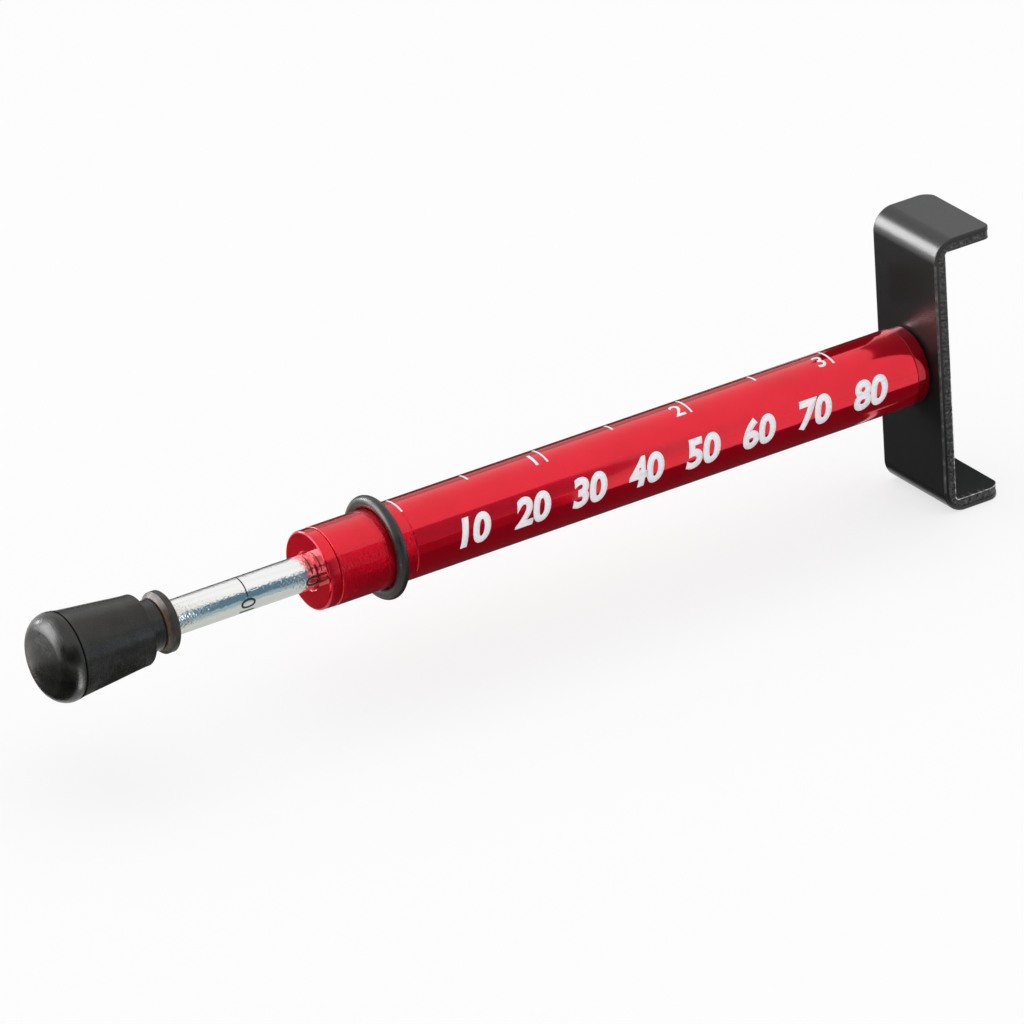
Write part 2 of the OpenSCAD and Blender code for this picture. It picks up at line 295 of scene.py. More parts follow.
def outward(name, built):
    """The built faces as a mesh, all pointing outwards."""
    bmesh.ops.recalc_face_normals(built, faces=built.faces)
    mesh = bpy.data.meshes.new(name)
    built.to_mesh(mesh)
    return mesh


def bridge(built, here, ahead):
    """The faces between two rings of points, either of which can be one point on the axis."""
    sides = max(len(here), len(ahead))
    faces = []
    for side in range(sides):
        after = (side + 1) % sides
        corners = [here[side % len(here)], here[after % len(here)]]
        corners += [ahead[after % len(ahead)], ahead[side % len(ahead)]]
        faces.append(built.faces.new(dict.fromkeys(corners)))
    return faces


def hook_mesh():
    """The strip's section carried along from tip to tip, with torn edges."""
    built = bmesh.new()
    wear_and_highlight = built.verts.layers.float.new("wear_and_highlight")
    loops = []
    run = 0.0
    last = None
    for outer, inner, distance, corner_wear_and_highlight, burr_wear_and_glint in hook_stations():
        run += 0.0 if last is None else (outer - last).length
        last = outer
        middle, out = (outer + inner) / 2, (outer - inner).normalized()
        thick = (outer - inner).length / 2 - tip_loss(distance, tip_edge)
        front_corner = near_corner if middle.y > 0 else low_near_corner
        loop, flags = [], []
        for side, corner in ((1, far_corner), (-1, front_corner)):
            points = strip_section(strip_half - tip_loss(distance, corner), thick, corner_wear_and_highlight, burr_wear_and_glint)
            for y, rise, rubbing_and_highlight, sheared in points if side > 0 else reversed(points):
                at_corner = rise > thick - face_corner or rise < burr_corner - thick
                rough = 0.0 if at_corner or not sheared else torn(run / mm, rise / mm, 7.0 * side)
                place = middle + out * rise
                vert = built.verts.new((place.x, side * (y - rough), place.y))
                vert[wear_and_highlight] = rubbing_and_highlight
                loop.append(vert)
                flags.append(sheared)
        loops.append(loop)
    for here, ahead in zip(loops, loops[1:]):
        for face, flag, next_flag in zip(bridge(built, here, ahead), flags, flags[1:] + flags[:1]):
            face.material_index = flag * next_flag
    for end in (loops[0], loops[-1]):
        built.faces.new(end).material_index = 1
    return outward("hook_strip", built)


def soft_outline(corners, closed):
    """Corners of (x, radius, rounding) as points, with guard points that keep the straights flat."""
    guard, bend_steps = 0.05 * mm, 5
    bends = []
    for index, (x, radius, soft) in enumerate(corners):
        here = Vector((x, radius))
        if soft == 0 or (not closed and index in (0, len(corners) - 1)):
            bends.append([here])
            continue
        back = (Vector(corners[index - 1][:2]) - here).normalized()
        ahead = (Vector(corners[(index + 1) % len(corners)][:2]) - here).normalized()
        half = back.angle(ahead) / 2
        centre = here + (back + ahead).normalized() * soft / math.sin(half)
        first = here + back * soft / math.tan(half) - centre
        last = here + ahead * soft / math.tan(half) - centre
        sweep = math.atan2(first.x * last.y - first.y * last.x, first.dot(last))
        turns = [sweep * step / bend_steps for step in range(bend_steps + 1)]
        bends.append([centre + Matrix.Rotation(turn, 2) @ first for turn in turns])
    points = []
    for index, bend in enumerate(bends):
        points += bend
        if not closed and index == len(bends) - 1:
            break
        start, end = bend[-1], bends[(index + 1) % len(bends)][0]
        if (end - start).length > 6 * guard:
            step = (end - start).normalized() * guard
            points += [start + step, end - step]
    return points


def revolve(name, points, closed, sides):
    """A mesh of (x, radius) points turned about the tube's axis."""
    built = bmesh.new()
    rings = []
    turns = [2 * math.pi * side / sides for side in range(sides)]
    on_axis = 1e-7
    for x, radius in points:
        if radius < on_axis:
            rings.append([built.verts.new((x, 0, 0))])
            continue
        rings.append([
            built.verts.new((x, -radius * math.cos(turn), radius * math.sin(turn))) for turn in turns
        ])
    pairs = list(zip(rings, rings[1:] + rings[:1]))
    for here, ahead in pairs if closed else pairs[:-1]:
        bridge(built, here, ahead)
    mesh = outward(name, built)
    mesh.shade_smooth()
    mesh.set_sharp_from_angle(angle=math.radians(28))
    return mesh


def turned(name, corners, closed=True, sides=144):
    """A mesh turned from corners of (x, radius, rounding)."""
    return revolve(name, soft_outline(corners, closed), closed, sides)


def plain_mesh(piece):
    """Puts the modifiers' result in the piece's mesh and takes the modifiers off."""
    graph = bpy.context.evaluated_depsgraph_get()
    result = bpy.data.meshes.new_from_object(piece.evaluated_get(graph))
    piece.modifiers.clear()
    piece.data = result
    return piece


def cut_out(piece, name, mesh):
    """Takes the shape of a cutter out of a piece."""
    cutter = add_piece(name, mesh)
    cutting = piece.modifiers.new(name, "BOOLEAN")
    cutting.object = cutter
    cutting.solver = "EXACT"
    plain_mesh(piece)
    bpy.data.objects.remove(cutter)


screw_low, screw_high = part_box("hook_screw")
head_radius = screw_high.y
head_face_x = screw_high.x
head_land = 0.2 * mm
screw_radius = 2.0 * mm
cone_end_x = head_face_x - head_land - (head_radius - screw_radius)
hole_play = 0.02 * mm
sink_mesh = turned(
    "screw_hole",
    [
        (mm, 0, 0),
        (mm, head_radius + hole_play, 0),
        (head_face_x - head_land, head_radius + hole_play, 0),
        (cone_end_x, screw_radius + hole_play, 0),
        (-strip_thick - mm, screw_radius + hole_play, 0),
        (-strip_thick - mm, 0, 0),
    ],
    closed=False,
    sides=64,
)
hook_strip = add_piece("hook_strip", hook_mesh(), satin_black, sheared_black)
cut_out(hook_strip, "screw_hole", sink_mesh)
hook_strip.data.shade_smooth()
hook_strip.data.set_sharp_from_angle(angle=math.radians(40))
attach(hook_strip, "gauge_body")
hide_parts("hook_bracket")

# Hook screw
# A countersunk machine screw of plated steel with a cross recess, put in from the belt side.
# It passes through the hook's web into the rear plug, with its head just below the belt face.
plated_steel = finish("plated_screw_steel", (0.62, 0.63, 0.64), 1.0, 0.3)
plating = grain(plated_steel, 4.0)
colour_by(plated_steel, plating, (0.3, (0.52, 0.53, 0.55)), (0.7, (0.68, 0.69, 0.7)))
roughness_by(plated_steel, plating, 0.22, 0.4)
relief(plated_steel, (plating, 0.003 * mm))

recess_depth = 1.1 * mm
recess_reach = 0.62 * head_radius
recess_half = 0.45 * mm


def cross_cutter():
    """Four arms that narrow towards the floor of the recess."""
    built = bmesh.new()
    levels = ((head_face_x - recess_depth, 0.5), (head_face_x, 1.0), (head_face_x + mm, 1.0))
    rings = []
    for x, share in levels:
        reach, half = recess_reach * share, recess_half * (0.6 + 0.4 * share)
        ring = []
        for arm in range(4):
            turn = Matrix.Rotation(math.pi / 2 * arm, 2)
            for along, aside in ((reach, -half), (reach, half), (half, half)):
                spot = turn @ Vector((along, aside))
                ring.append(built.verts.new((x, spot.x, spot.y)))
        rings.append(ring)
    for here, ahead in zip(rings, rings[1:]):
        bridge(built, here, ahead)
    built.faces.new(rings[0])
    built.faces.new(rings[-1])
    return outward("cross_recess", built)


def turned_piece(name, material, corners, closed=True, sides=144):
    return add_piece(name, turned(name, corners, closed, sides), material)


screw_tip_lead = 0.4 * mm
cone_edge = 0.05 * mm
head_edge = 0.08 * mm
countersunk_screw = turned_piece(
    "countersunk_screw",
    plated_steel,
    [
        (screw_low.x, 0, 0),
        (screw_low.x, screw_radius - screw_tip_lead, 0),
        (screw_low.x + screw_tip_lead, screw_radius, 0),
        (cone_end_x, screw_radius, 0),
        (head_face_x - head_land, head_radius, cone_edge),
        (head_face_x, head_radius, head_edge),
        (head_face_x, 0, 0),
    ],
    closed=False,
    sides=72,
)
cut_out(countersunk_screw, "cross_recess", cross_cutter())
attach(countersunk_screw, "gauge_body")
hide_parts("hook_screw")

# Rear plug
# A turned aluminium plug, anodised red, whose spigot sits in the tube and carries the spring on a boss.
# The hook screw pulls the hook's web against the plug's flange.
plug_low, plug_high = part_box("rear_plug")
barrel_low, barrel_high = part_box("barrel")
barrel_radius = barrel_high.z
tube_wall = 1.0 * mm
bore_radius = barrel_radius - tube_wall
spigot_radius = bore_radius - 0.02 * mm
plug_radius = plug_high.z
plug_chamfer = 0.5 * mm
chamfer_edge = 0.08 * mm
seat_edge = 0.06 * mm
lead_in = 0.4 * mm
boss_radius = 3.0 * mm
boss_length = 4.0 * mm
plug_end_x = plug_low.x + boss_length
tapped_radius = screw_radius + hole_play
tapped_end_x = screw_low.x - mm
dye_red = (0.80, 0.003, 0.02)
no_mottle_x = -1.0


def place_along(material):
    """The place along the tube's axis."""
    place = add_node(material.node_tree, "ShaderNodeTexCoord")["Object"]
    return add_node(material.node_tree, "ShaderNodeSeparateXYZ", vector=place)["X"]


def anodised(name, turning_marks, mottled_to, shade=1.0):
    """Bright red anodised aluminium: a dyed metal under a clear hard film, with fine turning marks.

    It is mottled from the front end up to a place along the axis."""
    material = finish(name, dye_red, 0.74, 0.1)
    shader = shader_of(material)
    shader.inputs["Specular IOR Level"].default_value = 0.0
    shader.inputs["Coat Weight"].default_value = 1.0
    shader.inputs["Coat Roughness"].default_value = 0.05
    shader.inputs["Coat IOR"].default_value = 1.41
    pores = grain(material, 4.6, detail=2.0)
    cloud = grain(material, 0.16, detail=2.0)
    rings = grain(material, 1.0, stretch=(9.0, 0.05, 0.05), detail=2.0)
    dyes = ((0.3, Vector((0.71, 0.002, 0.018))), (0.7, Vector((0.79, 0.004, 0.024))))
    colour_by(material, cloud, *((place, dye * shade) for place, dye in dyes))
    roughness_by(material, pores, 0.1, 0.18)
    etched = remap(material, place_along(material), 1.0, 0.0, mottled_to - 0.1 * mm, mottled_to)
    mottle = node_sum(material.node_tree, "MULTIPLY", grain(material, 2.6, detail=2.0), etched)
    relief(material, (mottle, 0.12 * mm), (pores, 0.003 * mm), (rings, turning_marks))
    return material


# The plug's red is darker than the tube's, a painted shade from the hook's web beside it.
red_plug = anodised("red_anodised_plug", 0.0016 * mm, no_mottle_x, shade=0.6)
plug_turned = turned_piece(
    "plug_turned",
    red_plug,
    [
        (plug_low.x, 0, 0),
        (plug_low.x, boss_radius - lead_in, 0),
        (plug_low.x + lead_in, boss_radius, 0),
        (plug_end_x, boss_radius, 0),
        (plug_end_x, spigot_radius - lead_in, 0),
        (plug_end_x + lead_in, spigot_radius, 0),
        (barrel_high.x, spigot_radius, 0),
        (barrel_high.x, plug_radius, seat_edge),
        (plug_high.x - plug_chamfer, plug_radius, chamfer_edge),
        (plug_high.x, plug_radius - plug_chamfer, 0),
        (plug_high.x, tapped_radius, 0),
        (tapped_end_x, tapped_radius, 0),
        (tapped_end_x, 0, 0),
    ],
    closed=False,
)
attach(plug_turned, "gauge_body")
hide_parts("rear_plug")

# Barrel
# A drawn aluminium tube, bright dipped and anodised red, with a fine line scribed all round at zero.
# It is pressed on the spigots of the rear plug and the front cap.
zero_x = barrel_low.x + 13.0 * mm
scribed_half = 0.12 * mm
scribed_depth = 0.08 * mm
front_edge = 0.16 * mm
turned_edge = 0.2 * mm
red_tube = anodised("red_anodised_tube", 0.0003 * mm, zero_x)
tube_anodised = turned_piece(
    "tube_anodised",
    red_tube,
    [
        (barrel_low.x, bore_radius, 0),
        (barrel_low.x, barrel_radius, front_edge),
        (zero_x - scribed_half, barrel_radius, 0),
        (zero_x, barrel_radius - scribed_depth, 0),
        (zero_x + scribed_half, barrel_radius, 0),
        (barrel_high.x, barrel_radius, turned_edge),
        (barrel_high.x, bore_radius, 0),
    ],
    sides=192,
)
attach(tube_anodised, "gauge_body")
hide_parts("barrel")

# Printed deflection scale
# White pad-printed ink on the tube: long ticks each inch with their numbers, short ticks at the half inches.
# The side facing the hand has plain bold millimetre numbers, counted from the scribed zero line.
white_ink = finish("white_scale_ink", (0.9, 0.89, 0.93), 0.0, 0.5)
ink_grain = grain(white_ink, 5.0, detail=2.0)
colour_by(white_ink, ink_grain, (0.3, (0.84, 0.83, 0.87)), (0.6, (0.92, 0.91, 0.95)))
roughness_by(white_ink, ink_grain, 0.42, 0.6)
relief(white_ink, (ink_grain, 0.002 * mm))

ink_rise = 0.02 * mm
inch = 25.4 * mm
tick_width = 0.3 * mm
tick_top = math.radians(107)
long_tick_low = math.radians(67.5)
half_tick_low = math.radians(86)


def sums(tree, *operations):
    """A function of one or two values for each of these sums in a tree."""
    return [partial(node_sum, tree, operation) for operation in operations]


def new_tree(name, **inputs):
    """A node tree with named inputs of each kind, and the sockets of its two ends."""
    tree = bpy.data.node_groups.new(name, "GeometryNodeTree")
    for kind, labels in inputs.items():
        for label in labels:
            tree.interface.new_socket(label, in_out="INPUT", socket_type="NodeSocket" + kind.title())
    tree.interface.new_socket("Geometry", in_out="OUTPUT", socket_type="NodeSocketGeometry")
    return tree, tree.nodes.new("NodeGroupInput").outputs, tree.nodes.new("NodeGroupOutput").inputs


def end_tree(tree, geometry, material, output):
    """Realizes the instances, sets the material and gives out the result."""
    real = add_node(tree, "GeometryNodeRealizeInstances", geometry=geometry)["Geometry"]
    coated = add_node(tree, "GeometryNodeSetMaterial", geometry=real, material=material)["Geometry"]
    tree.links.new(coated, output)


def grown(name, tree, **values):
    """A piece made by a node tree, as a plain mesh."""
    piece = add_piece(name, bpy.data.meshes.new(name))
    growing = piece.modifiers.new(name, "NODES")
    growing.node_group = tree
    for item in tree.interface.items_tree:
        if item.in_out == "INPUT":
            growing[item.identifier] = values[item.name.lower().replace(" ", "_")]
    return plain_mesh(piece)


def tick_row_tree():
    """Ticks of printed ink that lie round a cylinder, in a row along it."""
    tree, given, result = new_tree(
        "tick_row",
        int=["Count"],
        float=["First X", "Pitch", "Low Angle", "High Angle", "Width", "Radius", "Rise"],
        material=["Ink"],
    )
    add, less, times, cosine, sine = sums(tree, "ADD", "SUBTRACT", "MULTIPLY", "COSINE", "SINE")
    block = add_node(tree, "GeometryNodeMeshCube", size=(1, 1, 1), vertices_y=25)["Mesh"]
    place = add_node(tree, "GeometryNodeInputPosition")["Position"]
    spot = add_node(tree, "ShaderNodeSeparateXYZ", vector=place)
    span = less(given["High Angle"], given["Low Angle"])
    turn = add(times(add(spot["Y"], 0.5), span), given["Low Angle"])
    radius = add(given["Radius"], times(spot["Z"], times(given["Rise"], 2.0)))
    bent = add_node(
        tree,
        "ShaderNodeCombineXYZ",
        x=times(spot["X"], given["Width"]),
        y=times(times(radius, cosine(turn)), -1.0),
        z=times(radius, sine(turn)),
    )["Vector"]
    tick = add_node(tree, "GeometryNodeSetPosition", geometry=block, position=bent)["Geometry"]
    start = add_node(tree, "ShaderNodeCombineXYZ", x=given["First X"])["Vector"]
    step = add_node(tree, "ShaderNodeCombineXYZ", x=given["Pitch"])["Vector"]
    places = {"count": given["Count"], "start_location": start, "offset": step}
    row = add_node(tree, "GeometryNodeMeshLine", **places)["Mesh"]
    ticks = add_node(tree, "GeometryNodeInstanceOnPoints", points=row, instance=tick)["Instances"]
    end_tree(tree, ticks, given["Ink"], result["Geometry"])
    return tree


tick_row = tick_row_tree()


def tick_piece(name, body, slot, **sizes):
    """A row of ticks that rides on a body."""
    piece = grown(name, tick_row, width=tick_width, rise=ink_rise, **sizes)
    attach(piece, body)
    return piece


def number_mesh(words, height, narrow, bold, slant):
    """A flat mesh of plain numbers of that height, with its middle at the origin."""
    letters = bpy.data.curves.new("numbers", "FONT")
    letters.body = words
    letters.offset = bold
    letters.shear = slant
    letters.resolution_u = 6
    draft = bpy.data.objects.new("numbers", letters)
    bpy.context.scene.collection.objects.link(draft)
    graph = bpy.context.evaluated_depsgraph_get()
    mesh = bpy.data.meshes.new_from_object(draft.evaluated_get(graph))
    bpy.data.objects.remove(draft)
    xs = [vert.co.x for vert in mesh.vertices]
    ys = [vert.co.y for vert in mesh.vertices]
    size = height / (max(ys) - min(ys))
    middle = Vector(((max(xs) + min(xs)) / 2, (max(ys) + min(ys)) / 2, 0))
    mesh.transform(Matrix.Diagonal((size * narrow, size, size, 1)) @ Matrix.Translation(-middle))
    return mesh


def printed_numbers(name, numbers, radius, upright, ink):
    """Numbers of (words, height, narrow, bold, slant, x, angle) laid round a cylinder as thin ink.

    Upright numbers read along the tube. The others read round it, with their tops towards the cap."""
    joined = bmesh.new()
    for words, height, narrow, bold, slant, x, angle in numbers:
        flat = number_mesh(words, height, narrow, bold, slant)
        built = bmesh.new()
        built.from_mesh(flat)
        bmesh.ops.remove_doubles(built, verts=built.verts, dist=1e-7)
        reach = max(max(abs(vert.co.x), abs(vert.co.y)) for vert in built.verts)
        across = Vector((0, 1, 0)) if upright else Vector((1, 0, 0))
        strips = 40
        for cut in range(1, strips):
            whole = built.verts[:] + built.edges[:] + built.faces[:]
            level = across * reach * (2 * cut / strips - 1)
            bmesh.ops.bisect_plane(built, geom=whole, plane_co=level, plane_no=across, dist=1e-8)
        ink_face = built.faces[:]
        lifted = bmesh.ops.extrude_face_region(built, geom=ink_face, use_keep_orig=True)
        top = {item for item in lifted["geom"] if isinstance(item, bmesh.types.BMVert)}
        for vert in built.verts:
            along, round_by = (vert.co.x, vert.co.y) if upright else (-vert.co.y, vert.co.x)
            turn = angle + round_by / radius
            level = radius + (ink_rise if vert in top else -ink_rise)
            vert.co = (x + along, -level * math.cos(turn), level * math.sin(turn))
        joined.from_mesh(outward(name, built))
    mesh = bpy.data.meshes.new(name)
    joined.to_mesh(mesh)
    return add_piece(name, mesh, ink)


on_tube = {"radius": barrel_radius, "ink": white_ink, "high_angle": tick_top, "pitch": inch}
tick_piece(
    "inch_ticks", "gauge_body", "anodised_red", count=4, first_x=zero_x, low_angle=long_tick_low, **on_tube
)
tick_piece(
    "half_inch_ticks",
    "gauge_body",
    "anodised_red",
    count=3,
    first_x=zero_x + inch / 2,
    low_angle=half_tick_low,
    **on_tube,
)
inch_height = 2.7 * mm
inch_aside = 1.75 * mm
inch_angle = long_tick_low + inch_height / 2 / barrel_radius
inch_numbers = printed_numbers(
    "inch_numbers",
    [(str(k), inch_height, 1.0, 0.012, 0.0, zero_x + inch * k - inch_aside, inch_angle) for k in (1, 2, 3)],
    barrel_radius,
    True,
    white_ink,
)
metric_height = 4.6 * mm
metric_step = 10 * mm
metric_angle = math.radians(8)
metric_numbers = printed_numbers(
    "millimetre_numbers",
    [
        (str(10 * k), metric_height, 1.0, 0.045, 0.22, zero_x + metric_step * k, metric_angle)
        for k in range(1, 9)
    ],
    barrel_radius,
    True,
    white_ink,
)
for numbers in (inch_numbers, metric_numbers):
    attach(numbers, "gauge_body")

# Spring washer
# A stamped washer of plated steel that keeps the spring's wire off the aluminium plug.
# It lies loose on the plug's boss, held by the spring.


def collar(name, material, box, hole, sides=72):
    """A plain washer or collar that fills a box, with its outer edges rounded."""
    low, high = box
    rim = [(low.x, high.z, turned_edge), (high.x, high.z, turned_edge)]
    return turned_piece(name, material, [(low.x, hole, 0), *rim, (high.x, hole, 0)], sides=sides)


washer_steel = collar("washer_steel", plated_steel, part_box("spring_washer"), boss_radius + hole_play)
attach(washer_steel, "gauge_body")
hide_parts("spring_washer")

# Main spring
# A compression spring coiled from drawn steel wire, with one closed coil at each end.
# It sits between the piston and the washer and sets the force that the plunger shows.
spring_low, spring_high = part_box("main_spring")
wire_radius = 0.65 * mm
coil_radius = 3.95 * mm
coil_turns = 17
drawn_wire = finish("drawn_spring_wire", (0.45, 0.46, 0.48), 1.0, 0.35)
wire_grain = grain(drawn_wire, 2.5)
colour_by(drawn_wire, wire_grain, (0.3, (0.36, 0.37, 0.39)), (0.7, (0.5, 0.51, 0.53)))
roughness_by(drawn_wire, wire_grain, 0.28, 0.45)
relief(drawn_wire, (wire_grain, 0.004 * mm))


def coil_tree():
    """A wire wound along the axis, close at its first and last turn."""
    tree, given, result = new_tree(
        "closed_coil",
        int=["Steps"],
        float=["Front X", "Rear X", "Turns", "Coil Radius", "Wire Radius"],
        material=["Wire"],
    )
    add, less, times, divide = sums(tree, "ADD", "SUBTRACT", "MULTIPLY", "DIVIDE")
    least, most, cosine, sine = sums(tree, "MINIMUM", "MAXIMUM", "COSINE", "SINE")
    end_pitch = times(given["Wire Radius"], 2.08)
    length = less(given["Rear X"], given["Front X"])
    inner_turns = less(given["Turns"], 2.0)
    pitch = divide(less(length, times(end_pitch, 2.0)), inner_turns)
    order = add_node(tree, "GeometryNodeInputIndex")["Index"]
    turn = times(divide(order, given["Steps"]), given["Turns"])
    past_first = most(less(turn, 1.0), 0.0)
    inner = least(past_first, inner_turns)
    closed = times(add(least(turn, 1.0), less(past_first, inner)), end_pitch)
    along = add(closed, times(inner, pitch))
    around = times(turn, 2 * math.pi)
    spot = add_node(
        tree,
        "ShaderNodeCombineXYZ",
        x=add(along, given["Front X"]),
        y=times(given["Coil Radius"], cosine(around)),
        z=times(given["Coil Radius"], sine(around)),
    )["Vector"]
    line = add_node(tree, "GeometryNodeMeshLine", count=add(given["Steps"], 1.0))["Mesh"]
    wound = add_node(tree, "GeometryNodeSetPosition", geometry=line, position=spot)["Geometry"]
    path = add_node(tree, "GeometryNodeMeshToCurve", mesh=wound)["Curve"]
    wire = {"resolution": 12, "radius": given["Wire Radius"]}
    section = add_node(tree, "GeometryNodeCurvePrimitiveCircle", **wire)["Curve"]
    sweep = {"curve": path, "profile_curve": section, "fill_caps": True}
    swept = add_node(tree, "GeometryNodeCurveToMesh", **sweep)["Mesh"]
    end_tree(tree, swept, given["Wire"], result["Geometry"])
    return tree


spring_wire = grown(
    "spring_wire",
    coil_tree(),
    front_x=spring_low.x + wire_radius,
    rear_x=spring_high.x - wire_radius,
    turns=float(coil_turns),
    steps=28 * coil_turns,
    coil_radius=coil_radius,
    wire_radius=wire_radius,
    wire=drawn_wire,
)
spring_wire.data.shade_smooth()
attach(spring_wire, "gauge_body")
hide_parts("main_spring")
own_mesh(spring_wire)

# Front cap
# A turned aluminium cap, anodised red, pressed into the tube's front end, with a smooth flat face.
# Its bore guides the plunger rod, its mouth is chamfered, and a fine gap shows where it meets the tube.
face_low, face_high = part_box("front_cap")
rod_low, rod_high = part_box("plunger_rod")
rod_radius = rod_high.z
guide_radius = rod_radius + 0.05 * mm
mouth = 0.35 * mm
joint_gap = 0.14 * mm
joint_depth = 0.5 * mm
mouth_edge = 0.05 * mm
face_edge = 0.3 * mm
joint_edge = 0.12 * mm
red_fitting = anodised("red_anodised_fitting", 0.0016 * mm, no_mottle_x)
cap_turned = turned_piece(
    "cap_turned",
    red_fitting,
    [
        (face_low.x, guide_radius + mouth, mouth_edge),
        (face_low.x, face_high.z, face_edge),
        (barrel_low.x - joint_gap, face_high.z, joint_edge),
        (barrel_low.x - joint_gap, face_high.z - joint_depth, 0),
        (barrel_low.x, face_high.z - joint_depth, 0),
        (barrel_low.x, spigot_radius, 0),
        (face_high.x - lead_in, spigot_radius, 0),
        (face_high.x, spigot_radius - lead_in, 0),
        (face_high.x, guide_radius, 0),
        (face_low.x + mouth, guide_radius, mouth_edge),
    ],
)
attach(cap_turned, "gauge_body")
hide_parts("front_cap")

# Return buffer
# A punched washer of black rubber behind the front cap.
# It softens the plunger's return and lies against the cap's spigot.
moulded_black = finish("moulded_black_rubber", (0.014, 0.0135, 0.013), 0.0, 0.42)
bloom = grain(moulded_black, 0.5, detail=4.0)
scuffs = grain(moulded_black, 2.2, stretch=(0.25, 1.0, 1.0), detail=3.0)
skin = grain(moulded_black, 7.0, detail=2.0)
colour_by(moulded_black, bloom, (0.3, (0.010, 0.010, 0.010)), (0.7, (0.024, 0.022, 0.020)))
roughness_by(moulded_black, scuffs, 0.26, 0.44)
relief(moulded_black, (scuffs, 0.006 * mm), (skin, 0.002 * mm))

buffer_hole = 2.875 * mm
buffer_rubber = collar("buffer_rubber", moulded_black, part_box("return_buffer"), buffer_hole)
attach(buffer_rubber, "gauge_body")
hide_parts("return_buffer")

# Plunger rod
# A drawn steel rod with bright zinc plating, mottled and lightly streaked along its length.
# A groove near its inner end takes the piston's clip, and its outer end sits in the rubber cap.
bright_zinc = finish("bright_zinc_plating", (0.83, 0.85, 0.86), 1.0, 0.16)
mottle = grain(bright_zinc, 3.2, stretch=(0.8, 1.0, 1.0), detail=1.0)
streaks = grain(bright_zinc, 2.4, stretch=(0.03, 1.0, 1.0), detail=2.0)
colour_by(bright_zinc, streaks, (0.3, (0.83, 0.84, 0.84)), (0.65, (0.90, 0.90, 0.89)))
roughness_by(bright_zinc, mottle, 0.1, 0.18)
relief(bright_zinc, (mottle, 0.042 * mm), (streaks, 0.012 * mm))

clip_low, clip_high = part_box("piston_clip")
groove_radius = rod_radius - 0.5 * mm
groove_play = 0.02 * mm
rod_plated = turned_piece(
    "rod_plated",
    bright_zinc,
    [
        (rod_low.x, 0, 0),
        (rod_low.x, rod_radius - lead_in, 0),
        (rod_low.x + lead_in, rod_radius, 0),
        (clip_low.x - groove_play, rod_radius, 0),
        (clip_low.x - groove_play, groove_radius, 0),
        (clip_high.x, groove_radius, 0),
        (clip_high.x, rod_radius, 0),
        (rod_high.x - lead_in, rod_radius, 0),
        (rod_high.x, rod_radius - lead_in, 0),
        (rod_high.x, 0, 0),
    ],
    closed=False,
    sides=128,
)
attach(rod_plated, "plunger")
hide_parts("plunger_rod")

# Printed force scale
# Thin black ink on the rod: a tick and a number at zero and at ten.
# The numbers read round the rod, with their tops towards the cap.
black_ink = finish("black_scale_ink", (0.02, 0.02, 0.022), 0.0, 0.4)
black_grain = grain(black_ink, 6.0, detail=2.0)
colour_by(black_ink, black_grain, (0.3, (0.012, 0.012, 0.014)), (0.7, (0.035, 0.035, 0.038)))
roughness_by(black_ink, black_grain, 0.32, 0.5)

force_zero_x = face_low.x - 0.8 * mm
force_step = 11.1 * mm
force_marks = (("0", 0, -7), ("0", 1, -7), ("1", 1, -39))
force_ticks = grown(
    "force_ticks",
    tick_row,
    count=2,
    first_x=force_zero_x,
    pitch=-force_step,
    low_angle=math.radians(16),
    high_angle=math.radians(115),
    width=0.2 * mm,
    radius=rod_radius,
    rise=ink_rise,
    ink=black_ink,
)
force_numbers = printed_numbers(
    "force_numbers",
    [
        (digit, 2.45 * mm, 1.05, 0.0, 0.0, force_zero_x - force_step * step, math.radians(angle))
        for digit, step, angle in force_marks
    ],
    rod_radius,
    False,
    black_ink,
)
for marks in (force_ticks, force_numbers):
    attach(marks, "plunger")

# Piston
# A turned brass collar on the rod's inner end, a sliding fit in the tube.
# It carries the front of the spring, and the clip in the rod's groove holds it.
turned_brass = finish("turned_brass", (0.72, 0.55, 0.25), 1.0, 0.28)
brass_rings = grain(turned_brass, 1.0, stretch=(8.0, 0.05, 0.05), detail=2.0)
tarnish = grain(turned_brass, 0.6)
colour_by(turned_brass, tarnish, (0.3, (0.60, 0.43, 0.17)), (0.7, (0.76, 0.59, 0.29)))
roughness_by(turned_brass, tarnish, 0.2, 0.36)
relief(turned_brass, (brass_rings, 0.003 * mm))

piston_hole = rod_radius + hole_play
piston_turned = collar("piston_turned", turned_brass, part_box("piston"), piston_hole, sides=96)
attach(piston_turned, "plunger")
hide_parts("piston")

# Piston clip
# A three-pronged clip stamped from spring steel and pushed into the rod's groove from one side.
# Its shape is plain and it is hidden in the tube, so the solid itself is shown.
clip_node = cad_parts["piston_clip"]
clip_node.data.materials.clear()
clip_node.data.materials.append(drawn_wire)

# Rubber cap
# A thumb cap moulded in black rubber, with a rounded end, a tapered body and a narrow neck.
# The mould left a fine groove and a lip at the seam, and the cap grips the rod in a blind bore.
cap_low, cap_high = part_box("rubber_cap")
seam_radius = 6.55 * mm
shoulder_radius = 5.25 * mm
neck_radius = 3.85 * mm
neck_length = 2.7 * mm
body_length = 12.6 * mm
crown_rise = 0.6 * mm
dome_swell = 0.2 * mm
lip = 0.12 * mm
body_swell = 0.05 * mm
shoulder_edge = 0.18 * mm
neck_fillet = 0.5 * mm
neck_edge = 0.3 * mm
seam_groove = 0.2 * mm
groove_points = (
    (-0.13 * mm, 0.13 * mm),
    (-0.11 * mm, -seam_groove),
    (0.02 * mm, -seam_groove),
    (0.05 * mm, 0.04 * mm),
    (0.13 * mm, lip),
)
shoulder_x = cap_high.x - neck_length
seam_x = shoulder_x - body_length
edge_radius = 0.7 * (seam_x - cap_low.x)
edge_x = cap_low.x + crown_rise + edge_radius
